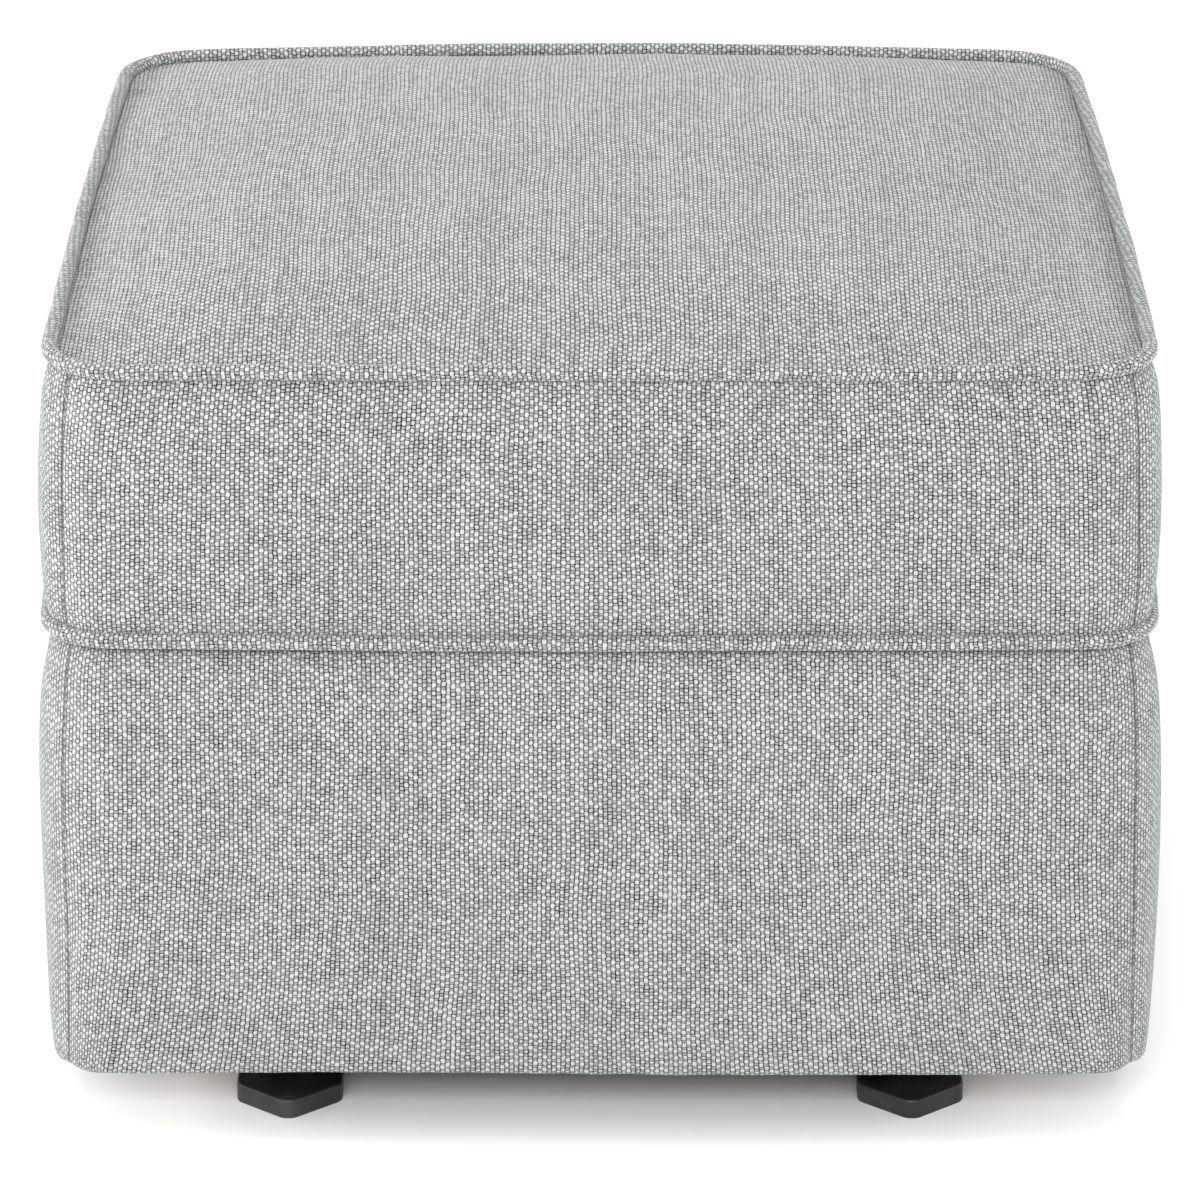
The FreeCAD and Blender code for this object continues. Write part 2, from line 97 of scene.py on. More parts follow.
# Cloth simulation
PRESSURE = 4.0
SWELL_FRAMES = 20
SWELL_LIMIT = 0.005

# Seams and puckers
SEAM_PINCH = 0.0020
SEAM_PINCH_REACH = 0.007
SEAM_HOLD = 0.012
PUCKER_HEIGHT = 0.0010
PUCKER_REACH = 0.018
PUCKER_LENGTH = 0.017

# Slow unevenness of the stuffing: height, length and seed
CUSHION_WAVES = (0.0016, 0.11, 3.1)
BASE_WAVES = (0.0018, 0.13, 7.7)

# Unevenness of a welt: its height, its place in plan and the share of its radius
WELT_LIFT_NOISE = 0.0006
WELT_PUSH_NOISE = 0.0005
WELT_RADIUS_NOISE = 0.05

# Weave: width of a column of stitches, height of a stitch and its gap, and relief
COLUMN = 0.00233
STITCH = 0.00389
RELIEF = 0.0006

# One stitch in shares of its column and height: the light dot, least and spread, and the bar above it
DOT_HALF_WIDTH = (0.38, 0.09)
DOT_HALF_HEIGHT = (0.23, 0.08)
BAR_HALF_WIDTH = 0.40
BAR_HALF_HEIGHT = 0.165
CORNER_POWER = 3.5

# Lightness between the gap's colour and the light yarn's
DOT_LIGHT = (0.82, 0.26)
BAR_LIGHT = 0.56
STREAK_LIGHT = 0.68
GAP_LIGHT = 0.22

# Yarn colours: the light yarn, and the gap colour, which is partly a darker yarn and partly painted shade
# in the hollows between stitches
LIGHT_YARN = (0.465, 0.481, 0.472, 1.0)
GAP_YARN_AND_SHADE = (0.006, 0.010, 0.009, 1.0)

# Numbers that keep the weave of one piece unlike the next
CUSHION_SEED = 1.0
TOP_SEED = 7.0
BASE_SEED = 11.0
WELT_SEED = 20.0

# Studio: name, place, aim, size and power of each light
LIGHTS = [
    ("overhead", (0.0, 0.1, 2.7), (0, 0, 0.3), (2.2, 2.2), 26.0),
    ("front_soft", (-0.3, -3.2, 2.0), (0, 0, 0.1), (2.6, 0.9), 84.0),
    ("left_strip", (-2.4, -0.3, 0.9), (0, 0, 0.2), (1.8, 0.8), 48.0),
    ("right_strip", (2.4, -0.1, 0.9), (0, 0, 0.2), (1.8, 0.8), 26.0),
]
WORLD_STRENGTH = 0.88
FLOOR_REACH = 8.0

PANELS = ("front", "right", "back", "left")


# Plan outline and levels

def quadrant(half, bow, radius):
    """Points from the middle of the right side, round the rear corner, to the middle of the back."""
    side_radius = (half[1]**2 + bow[0]**2) / (2 * bow[0])
    side_centre = half[0] + bow[0] - side_radius
    end_radius = (half[0]**2 + bow[1]**2) / (2 * bow[1])
    end_centre = half[1] + bow[1] - end_radius
    span = math.hypot(side_centre, end_centre)
    along = ((side_radius - radius)**2 - (end_radius - radius)**2 + span**2) / (2 * span)
    across = math.sqrt((side_radius - radius)**2 - along**2)
    ux, uy = -side_centre / span, end_centre / span
    cx = side_centre + along * ux - across * uy
    cy = along * uy + across * ux
    side_turn = math.atan2(cy, cx - side_centre)
    end_turn = math.atan2(cy - end_centre, cx)
    turns = np.linspace(0.0, side_turn, SIDE_QUADS // 2 + 1)
    side = np.stack([side_centre + side_radius * np.cos(turns), side_radius * np.sin(turns)], 1)
    turns = np.linspace(side_turn, end_turn, 2 * CORNER_QUADS + 1)[1:-1]
    corner = np.stack([cx + radius * np.cos(turns), cy + radius * np.sin(turns)], 1)
    turns = np.linspace(end_turn, math.pi / 2, FRONT_QUADS // 2 + 1)
    end = np.stack([end_radius * np.cos(turns), end_centre + end_radius * np.sin(turns)], 1)
    return np.concatenate([side, corner, end])


def plan_ring(half, bow, radius):
    """A closed loop of points in plan, counterclockwise from the seam of the front left corner."""
    rear_right = quadrant(half, bow, radius)
    rear_left = (rear_right * (-1, 1))[::-1][1:]
    front_left = (rear_right * (-1, -1))[1:]
    front_right = (rear_right * (1, -1))[::-1][1:-1]
    loop = np.concatenate([rear_right, rear_left, front_left, front_right])
    start = len(rear_right) - 1 + len(rear_left) + SIDE_QUADS // 2 + CORNER_QUADS
    return np.roll(loop, -start, axis=0)


FRONT_COUNT = FRONT_QUADS + 2 * CORNER_QUADS
SIDE_COUNT = SIDE_QUADS + 2 * CORNER_QUADS
RING_COUNT = 2 * (FRONT_COUNT + SIDE_COUNT)
PANEL_STARTS = {"front": 0, "right": FRONT_COUNT, "back": FRONT_COUNT + SIDE_COUNT,
                "left": 2 * FRONT_COUNT + SIDE_COUNT}
PANEL_COUNTS = {"front": FRONT_COUNT, "back": FRONT_COUNT, "left": SIDE_COUNT, "right": SIDE_COUNT}


def smooth_levels(levels, shares):
    """The swell at each share, with the listed corners rounded off."""
    fine = np.linspace(-1.0, 2.0, 601)
    share, swell = np.array(levels).T
    inside = np.interp(fine, share, swell)
    below = 2 * swell[0] - np.interp(-fine, share, swell)
    above = 2 * swell[-1] - np.interp(2 - fine, share, swell)
    table = np.where(fine < 0, below, np.where(fine > 1, above, inside))
    window = np.hanning(19)
    table = np.convolve(table, window / window.sum(), mode="same")
    return np.interp(shares, fine, table)


def base_rows():
    """Rings of points up the sides of the box."""
    shares = np.linspace(0.0, 1.0, BASE_ROWS + 1)
    rows = []
    for share, out in zip(shares, smooth_levels(BASE_LEVELS, shares) * BASE_SWELL):
        corner = BASE_CORNER + (HEM_CORNER - BASE_CORNER) * (1 - share)**3
        loop = plan_ring((BASE_HALF[0] + out, BASE_HALF[1] + out), BASE_BOW, corner + out)
        rows.append(np.column_stack([loop, np.full(RING_COUNT, HEM + share * (BASE_TOP - HEM))]))
    return np.array(rows)


def cushion_ring(rise, out):
    """The cushion's outline in plan: rise runs from 0 at the lower seam to 1 at the upper one."""
    half = [low + rise * (high - low) + out for low, high in zip(CUSHION_HALF, TOP_HALF)]
    bow = [low + rise * (high - low) for low, high in zip(CUSHION_BOW, TOP_BOW)]
    loop = plan_ring(half, bow, CUSHION_CORNER + rise * (TOP_CORNER - CUSHION_CORNER) + out)
    loop[:, 0] *= 1 - rise * TOP_TAPER * (loop[:, 1] / (2 * TOP_HALF[1]) + 0.5)
    return loop


def arch(points):
    """How much higher a point of the cushion's top sits than its corners."""
    return TOP_ARCH * (2 - (points[..., 0] / TOP_HALF[0])**2 - (points[..., 1] / TOP_HALF[1])**2)


def cushion_rows():
    """Rings of points up the sides of the cushion."""
    shares = np.linspace(0.0, 1.0, CUSHION_ROWS + 1)
    rows = []
    for share, out in zip(shares, smooth_levels(CUSHION_LEVELS, shares) * CUSHION_SWELL):
        loop = cushion_ring(share**2, out)
        height = CUSHION_BOTTOM + share * (SEAM_HEIGHT - CUSHION_BOTTOM) + share * arch(loop)
        rows.append(np.column_stack([loop, height]))
    return np.array(rows)


def panel_columns(name):
    """Ring columns of one panel, both seam columns included."""
    start = PANEL_STARTS[name]
    return [(start + i) % RING_COUNT for i in range(PANEL_COUNTS[name] + 1)]


def patch_inside(ring):
    """Points inside a closed ring, spread evenly from its four stretches between the corner seams."""
    front = ring[panel_columns("front")]
    right = ring[panel_columns("right")]
    back = ring[panel_columns("back")][::-1]
    left = ring[panel_columns("left")][::-1]
    s = np.linspace(0.0, 1.0, FRONT_COUNT + 1)[None, 1:-1, None]
    t = np.linspace(0.0, 1.0, SIDE_COUNT + 1)[1:-1, None, None]
    ruled = (1 - t) * front[None, 1:-1] + t * back[None, 1:-1]
    ruled = ruled + (1 - s) * left[1:-1, None] + s * right[1:-1, None]
    corners = (1 - t) * ((1 - s) * front[0] + s * front[-1]) + t * ((1 - s) * back[0] + s * back[-1])
    return ruled - corners


def crown(points):
    """Lifts the points of the top panel into a crown that falls to the seam all round."""
    share_x = np.abs(points[..., 0]) / (TOP_HALF[0] + TOP_BOW[0])
    share_x = share_x / (1 - TOP_TAPER * (points[..., 1] / (2 * TOP_HALF[1]) + 0.5))
    share_y = np.abs(points[..., 1]) / (TOP_HALF[1] + TOP_BOW[1])
    fall = (1 - np.minimum(1.0, share_x)**CROWN_POWER) * (1 - np.minimum(1.0, share_y)**CROWN_POWER)
    lifted = points.copy()
    lifted[..., 2] = SEAM_HEIGHT + arch(points) + CROWN_HEIGHT * fall
    return lifted


# Closed forms for the simulation: vertices, quads, and the grid of vertex numbers of each panel

def ring_quads(grid):
    """Quads between neighbouring rows of a closed ring, facing out."""
    after = np.roll(grid, -1, axis=1)
    return np.stack([grid[:-1], after[:-1], after[1:], grid[1:]], -1).reshape(-1, 4)


def grid_quads(grid):
    return np.stack([grid[:-1, :-1], grid[:-1, 1:], grid[1:, 1:], grid[1:, :-1]], -1).reshape(-1, 4)


def patch_grid(edge, inside):
    """Vertex numbers of a patch: the ring's numbers round its edge and its own inside."""
    grid = np.zeros((SIDE_COUNT + 1, FRONT_COUNT + 1), int)
    grid[0] = edge[panel_columns("front")]
    grid[-1] = edge[panel_columns("back")][::-1]
    grid[:, -1] = edge[panel_columns("right")]
    grid[:, 0] = edge[panel_columns("left")][::-1]
    grid[1:-1, 1:-1] = inside
    return grid


def cushion_form():
    """The closed cushion: boxing, crowned top and flat underside."""
    rows = cushion_rows()
    top = crown(patch_inside(rows[-1]))
    under = patch_inside(rows[0])
    numbers = np.arange(rows.shape[0] * RING_COUNT).reshape(rows.shape[0], RING_COUNT)
    inside = np.arange(top.shape[0] * top.shape[1]).reshape(top.shape[:2])
    grids = {name: numbers[:, panel_columns(name)] for name in PANELS}
    grids["top"] = patch_grid(numbers[-1], inside + numbers.size)
    grids["under"] = patch_grid(numbers[0], inside + numbers.size + inside.size)[:, ::-1]
    points = np.concatenate([rows.reshape(-1, 3), top.reshape(-1, 3), under.reshape(-1, 3)])
    quads = np.concatenate([ring_quads(numbers), grid_quads(grids["top"]), grid_quads(grids["under"])])
    seams = np.unique(np.concatenate([numbers[0], numbers[-1], grids["under"].ravel(),
                                      numbers[:, list(PANEL_STARTS.values())].ravel()]))
    return points, quads, grids, seams


def base_form():
    """The cover of the box: padded sides, turned in over the boards above and under them below."""
    sides = base_rows()
    inner = plan_ring(BOARD_INSIDE, BASE_BOW, 0.01)
    shares = np.linspace(0.0, 1.0, HEM_ROWS + 1)[:-1, None, None]
    below = np.column_stack([inner, np.full(RING_COUNT, HEM)])
    above = np.column_stack([inner, np.full(RING_COUNT, BASE_TOP)])
    turned_in = below + (sides[0] - below) * shares
    turned_over = (above + (sides[-1] - above) * shares)[::-1]
    rows = np.concatenate([turned_in, sides, turned_over])
    numbers = np.arange(rows.shape[0] * RING_COUNT).reshape(rows.shape[0], RING_COUNT)
    points = rows.reshape(-1, 3)
    seams = np.concatenate([numbers[:HEM_ROWS + 1].ravel(), numbers[-HEM_ROWS - 1:].ravel(),
                            numbers[:, list(PANEL_STARTS.values())].ravel()])
    grids = {name: numbers[:, panel_columns(name)] for name in PANELS}
    return points, ring_quads(numbers), grids, np.unique(seams)


def close_ends(points, rings):
    """Adds a point in the middle of each open ring, and the triangles that close the form with it."""
    middles = np.array([points[ring].mean(axis=0) for ring in rings])
    caps = []
    for number, ring in enumerate(rings):
        after = np.roll(ring, -1)
        caps += [[len(points) + number, a, b] for a, b in zip(ring, after)]
    return np.concatenate([points, middles]), caps


# Simulation and small folds

def swell(name, points, faces, pins):
    """Blows the cloth out between its pinned seams and gives back the moved points."""
    mesh = bpy.data.meshes.new(name)
    mesh.from_pydata(points.tolist(), [], faces)
    piece = bpy.data.objects.new(name, mesh)
    bpy.context.scene.collection.objects.link(piece)
    group = piece.vertex_groups.new(name="seams")
    group.add([int(i) for i in pins], 1.0, "REPLACE")
    cloth = piece.modifiers.new("cloth", "CLOTH")
    settings = cloth.settings
    settings.quality = 5
    settings.mass = 0.3
    settings.tension_stiffness = 40.0
    settings.compression_stiffness = 20.0
    settings.shear_stiffness = 10.0
    settings.bending_stiffness = 0.8
    settings.use_pressure = True
    settings.uniform_pressure_force = PRESSURE
    settings.vertex_group_mass = "seams"
    settings.effector_weights.gravity = 0.0
    cloth.collision_settings.use_collision = False
    cloth.point_cache.frame_start = 1
    cloth.point_cache.frame_end = SWELL_FRAMES
    for step in range(1, SWELL_FRAMES + 1):
        bpy.context.scene.frame_set(step)
    shaped = piece.evaluated_get(bpy.context.evaluated_depsgraph_get()).data
    moved = np.empty(len(points) * 3)
    shaped.vertices.foreach_get("co", moved)
    bpy.context.scene.frame_set(1)
    bpy.data.objects.remove(piece)
    step = moved.reshape(-1, 3) - points
    length = np.linalg.norm(step, axis=1, keepdims=True)
    return points + step * SWELL_LIMIT * np.tanh(length / SWELL_LIMIT) / np.maximum(length, 1e-9)


def surface_normals(points, quads):
    """A unit normal at each point, from the quads that share it."""
    a, b, c, d = (points[quads[:, i]] for i in range(4))
    facing = np.cross(c - a, d - b)
    normals = np.zeros_like(points)
    for i in range(4):
        np.add.at(normals, quads[:, i], facing)
    return normals / np.maximum(np.linalg.norm(normals, axis=1, keepdims=True), 1e-12)


def seam_distance(points, seam):
    """Distance from each point to the nearest point of a seam line."""
    near = np.full(len(points), np.inf)
    for place in points[seam]:
        near = np.minimum(near, np.linalg.norm(points - place, axis=1))
    return near


def held(points, seam):
    """0 on a seam that carries a welt, rising to 1 a little way off it."""
    share = np.clip(seam_distance(points, seam) / SEAM_HOLD, 0.0, 1.0)
    return share * share * (3 - 2 * share)


def pinch(points, normals, seam, depth):
    """Draws the cloth in along a seam."""
    near = seam_distance(points, seam)
    return points - normals * (depth * np.exp(-(near / SEAM_PINCH_REACH)**2))[:, None]


def puckers(points, normals, seam, height, seed):
    """Small folds that start at a seam and die out away from it."""
    near = seam_distance(points, seam)
    strength = height * np.exp(-near / PUCKER_REACH)
    folds = np.zeros(len(points))
    for i in np.flatnonzero(strength > height * 0.05):
        x, y, z = points[i]
        place = Vector((x / PUCKER_LENGTH, y / PUCKER_LENGTH, z / (4 * PUCKER_LENGTH) + seed))
        folds[i] = noise.noise(place)
    return points + normals * (folds * strength)[:, None]


def waves(points, normals, height, length, seed):
    """Slow unevenness of the stuffing under the cloth."""
    folds = np.array([noise.noise(Vector(p / length) + Vector((seed, 0, 0))) for p in points])
    return points + normals * (folds * height)[:, None]


# Pieces

def lengths_along(points, axis):
    """Distance run along a grid of points in one direction, from its middle line."""
    steps = np.linalg.norm(np.diff(points, axis=axis), axis=2)
    run = np.concatenate([np.zeros_like(np.take(steps, [0], axis)), np.cumsum(steps, axis=axis)], axis)
    middle = np.take(run, [run.shape[axis] // 2], axis)
    return run - middle


def make_piece(name, points, faces, material, cloth=None, seam=None):
    mesh = bpy.data.meshes.new(name)
    mesh.from_pydata(points.tolist(), [], [list(map(int, face)) for face in faces])
    mesh.polygons.foreach_set("use_smooth", [True] * len(mesh.polygons))
    if cloth is not None:
        mesh.attributes.new("cloth", "FLOAT_VECTOR", "POINT").data.foreach_set("vector", cloth.ravel())
    if seam is not None:
        mesh.attributes.new("seam", "FLOAT", "POINT").data.foreach_set("value", seam.ravel())
    mesh.materials.append(material)
    piece = bpy.data.objects.new(name, mesh)
    bpy.context.scene.collection.objects.link(piece)
    return piece


def soften(piece):
    """One level of subdivision, with the corners of the panel kept."""
    layer = piece.modifiers.new("smooth", "SUBSURF")
    layer.levels = 1
    layer.render_levels = 1
    layer.boundary_smooth = "PRESERVE_CORNERS"


def panel(name, grid, points, weave_place, seam, material, nodes):
    """One sewn panel of a padded form, as its own piece."""
    shape = grid.shape
    own = points[grid.ravel()]
    numbers = np.arange(own.shape[0]).reshape(shape)
    piece = make_piece(name, own, grid_quads(numbers), material, weave_place, seam)
    soften(piece)
    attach(piece, "seat_box")
    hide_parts(*nodes)


def side_weave(points, number):
    """Weave place and distance to the corner seams on a panel that stands upright; the distance places the
    painted seam shade.
    """
    widest = points.shape[0] // 2
    across = lengths_along(points, 1)[widest]
    up = lengths_along(points, 0)
    place = np.zeros(points.shape)
    place[..., 0] = across[None, :]
    place[..., 1] = up
    place[..., 2] = number
    reach = np.minimum(across - across[0], across[-1] - across)
    return place.reshape(-1, 3), np.broadcast_to(reach[None, :], points.shape[:2]).ravel()


def top_weave(points, number):
    """Weave place on the crowned top: its plan, run out along the slopes."""
    place = points.copy()
    reach = (TOP_HALF[0] + TOP_BOW[0], TOP_HALF[1] + TOP_BOW[1])
    share = [np.minimum(1.0, np.abs(points[..., axis] / reach[axis])) for axis in (0, 1)]
    for axis in (0, 1):
        steep = CROWN_HEIGHT * CROWN_POWER / reach[axis] * (1 - share[1 - axis]**CROWN_POWER)
        extra = 0.5 * steep**2 * reach[axis] * share[axis]**(2 * CROWN_POWER - 1) / (2 * CROWN_POWER - 1)
        place[..., axis] += np.sign(points[..., axis]) * extra
    place[..., 2] = number
    return place.reshape(-1, 3)


def add_cushion(cloth, lining_cloth):
    points, quads, grids, seams = cushion_form()
    points = swell("cushion_cloth", points, quads.tolist(), seams)
    normals = surface_normals(points, quads)
    corner_seams = np.unique(np.concatenate([grids[name][:, 0] for name in PANELS]))
    top_seam = np.unique(np.concatenate([grids[name][-1] for name in PANELS]))
    low_seam = np.unique(np.concatenate([grids[name][0] for name in PANELS]))
    smooth = points
    points = pinch(points, normals, corner_seams, SEAM_PINCH)
    points = waves(points, normals, *CUSHION_WAVES)
    points = puckers(points, normals, corner_seams, PUCKER_HEIGHT, 1.0)
    points = puckers(points, normals, top_seam, 1.5 * PUCKER_HEIGHT, 5.0)
    points = puckers(points, normals, low_seam, PUCKER_HEIGHT, 9.0)
    points = smooth + (points - smooth) * held(smooth, np.concatenate([top_seam, low_seam]))[:, None]
    for number, name in enumerate(PANELS):
        own = points[grids[name]]
        place, seam = side_weave(own, number + CUSHION_SEED)
        height = lengths_along(own, 0)
        # The distance to the boxing's top edge also lays the painted shade line under the upper welt
        edge = (height[-1:] - height).ravel()
        panel("cushion_side_" + name, grids[name], points, place, np.minimum(seam, edge), cloth,
              ["cushion_boxing_" + name])
    top = points[grids["top"]]
    # The distance to the top's seam lays the painted shade line along the upper welt
    edge = seam_distance(top.reshape(-1, 3), np.flatnonzero(np.isin(grids["top"].ravel(), top_seam)))
    panel("cushion_top", grids["top"], points, top_weave(top, TOP_SEED), edge, cloth,
          ["cushion_top_panel", "cushion_fibre", "cushion_foam"])
    under = points[grids["under"]]
    flat = np.zeros(under.shape)
    flat[..., :2] = under[..., :2]
    # No painted seam shade on the underside
    no_seam = np.ones(flat.shape[0] * flat.shape[1])
    panel("cushion_underside", grids["under"], points, flat.reshape(-1, 3), no_seam, lining_cloth,
          ["cushion_base_cloth"])


def add_base(cloth):
    points, quads, grids, seams = base_form()
    rows = quads.shape[0] // RING_COUNT + 1
    numbers = np.arange(rows * RING_COUNT).reshape(rows, RING_COUNT)
    closed, caps = close_ends(points, [numbers[0][::-1], numbers[-1]])
    pins = np.concatenate([seams, [len(points), len(points) + 1]])
    points = swell("base_cloth", closed, quads.tolist() + caps, pins)[:len(points)]
    normals = surface_normals(points, quads)
    side_seams = numbers[HEM_ROWS:-HEM_ROWS, list(PANEL_STARTS.values())].ravel()
    top_edge = numbers[-HEM_ROWS - 1]
    hem_edge = numbers[HEM_ROWS]
    smooth = points
    points = pinch(points, normals, side_seams, SEAM_PINCH)
    points = waves(points, normals, *BASE_WAVES)
    points = puckers(points, normals, side_seams, PUCKER_HEIGHT, 12.0)
    points = puckers(points, normals, top_edge, 1.6 * PUCKER_HEIGHT, 15.0)
    points = puckers(points, normals, hem_edge, 0.6 * PUCKER_HEIGHT, 18.0)
    points = smooth + (points - smooth) * held(smooth, top_edge)[:, None]
    for number, name in enumerate(PANELS):
        place, seam = side_weave(points[grids[name]], number + BASE_SEED)
        panel("base_side_" + name, grids[name], points, place, seam, cloth,
              ["base_cover_" + name, "base_pad_" + name])


def add_welt(name, node, rise, height, outset, material):
    """Cloth-covered cord all round a seam, its thickness and line a little uneven."""
    coarse = cushion_ring(rise, outset)
    steps = np.linalg.norm(np.roll(coarse, -1, axis=0) - coarse, axis=1)
    run = np.concatenate([[0.0], np.cumsum(steps)])
    stops = np.linspace(0.0, run[-1], WELT_SECTIONS, endpoint=False)
    closed = np.vstack([coarse, coarse[:1]])
    line = np.column_stack([np.interp(stops, run, closed[:, 0]), np.interp(stops, run, closed[:, 1])])
    ahead = np.roll(line, -1, axis=0) - np.roll(line, 1, axis=0)
    ahead /= np.linalg.norm(ahead, axis=1, keepdims=True)
    out = np.column_stack([ahead[:, 1], -ahead[:, 0]])
    turns = np.linspace(0.0, 2 * math.pi, WELT_SPOKES, endpoint=False)
    points = np.zeros((WELT_SECTIONS, WELT_SPOKES, 3))
    for i in range(WELT_SECTIONS):
        x, y = line[i]
        seed = height * 9
        lift = rise * arch(line[i]) + WELT_LIFT_NOISE * noise.noise(Vector((x * 14, y * 14, seed)))
        push = WELT_PUSH_NOISE * noise.noise(Vector((x * 22 + 5, y * 22, seed)))
        radius = WELT_RADIUS * (1 + WELT_RADIUS_NOISE * noise.noise(Vector((x * 60, y * 60, seed + 4))))
        reach = push + radius * np.cos(turns)
        points[i, :, :2] = line[i] + out[i] * reach[:, None]
        points[i, :, 2] = height + lift + radius * np.sin(turns)
    numbers = np.arange(WELT_SECTIONS * WELT_SPOKES).reshape(WELT_SECTIONS, WELT_SPOKES)
    after = np.roll(numbers, -1, axis=0)
    sides = [numbers, after, np.roll(after, -1, axis=1), np.roll(numbers, -1, axis=1)]
    quads = np.stack(sides, -1).reshape(-1, 4)
    piece = make_piece(name, points.reshape(-1, 3), quads, material)
    lay_welt_cloth(piece.data, stops, run)
    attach(piece, "seat_box")
    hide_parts(node)


def lay_welt_cloth(mesh, stops, run):
    """Weave place at a welt's face corners: straight on the front and back, on the bias at the sides."""
    girth = 2 * math.pi * WELT_RADIUS
    step = run[-1] / WELT_SECTIONS
    seams = [run[start] for start in PANEL_STARTS.values()] + [run[-1]]
    place = np.zeros((WELT_SECTIONS * WELT_SPOKES, 4, 3))
    for number in range(len(place)):
        section, spoke = divmod(number, WELT_SPOKES)
        start = stops[section]
        side = sum(start >= s for s in seams) - 1
        middle = (seams[side] + seams[side + 1]) / 2
        for corner, (ahead, up) in enumerate(((0, 0), (1, 0), (1, 1), (0, 1))):
            u = start + ahead * step - middle
            v = (spoke + up) / WELT_SPOKES * girth
            if side % 2:
                u, v = (u + v) * math.sqrt(0.5), (v - u) * math.sqrt(0.5)
            place[number, corner] = (u, v, side + WELT_SEED)
    mesh.attributes.new("cloth", "FLOAT_VECTOR", "CORNER").data.foreach_set("vector", place.ravel())
    # A seam value of 1 keeps the painted seam shade off the welts
    mesh.attributes.new("seam", "FLOAT", "POINT").data.foreach_set("value", [1.0] * len(mesh.vertices))


# Materials

class Graph:
    """Short calls that add shader nodes to one material."""

    def __init__(self, name):
        self.material = bpy.data.materials.new(name)
        self.material.use_nodes = True
        self.tree = self.material.node_tree
        self.shader = self.tree.nodes["Principled BSDF"]

    def put(self, socket, value):
        if isinstance(value, bpy.types.NodeSocket):
            self.tree.links.new(value, socket)
        else:
            socket.default_value = value

    def node(self, kind, *values, **settings):
        made = self.tree.nodes.new(kind)
        for key, value in settings.items():
            setattr(made, key, value)
        for number, value in enumerate(values):
            if value is not None:
                self.put(made.inputs[number], value)
        return made

    def math(self, operation, a, b=0.0, c=0.0):
        return self.node("ShaderNodeMath", a, b, c, operation=operation).outputs[0]

    def ramp(self, value, low, high, to_low=0.0, to_high=1.0):
        made = self.node("ShaderNodeMapRange", value, low, high, to_low, to_high,
                         interpolation_type="SMOOTHSTEP")
        return made.outputs[0]

    def attribute(self, name):
        return self.node("ShaderNodeAttribute", attribute_name=name)

    def vector(self, x, y, z=0.0):
        return self.node("ShaderNodeCombineXYZ", x, y, z).outputs[0]

    def noise(self, place, scale, detail=2.0):
        made = self.tree.nodes.new("ShaderNodeTexNoise")
        self.put(made.inputs["Vector"], place)
        made.inputs["Scale"].default_value = scale
        made.inputs["Detail"].default_value = detail
        return made.outputs[0]

    def random(self, x, y):
        made = self.tree.nodes.new("ShaderNodeTexWhiteNoise")
        made.noise_dimensions = "2D"
        self.put(made.inputs["Vector"], self.vector(x, y))
        return made.outputs["Value"]

    def mix(self, factor, low, high):
        made = self.node("ShaderNodeMix", factor, data_type="RGBA")
        colours = [s for s in made.inputs if s.type == "RGBA"]
        self.put(colours[0], low)
        self.put(colours[1], high)
        return [s for s in made.outputs if s.type == "RGBA"][0]

    def bump(self, height, distance, strength=1.0):
        made = self.tree.nodes.new("ShaderNodeBump")
        made.inputs["Strength"].default_value = strength
        made.inputs["Distance"].default_value = distance
        self.put(made.inputs["Height"], height)
        self.put(self.shader.inputs["Normal"], made.outputs[0])

    def set(self, **values):
        for name, value in values.items():
            self.put(self.shader.inputs[name.replace("_", " ")], value)
        return self.material

    def place(self):
        return self.tree.nodes.new("ShaderNodeTexCoord").outputs["Object"]


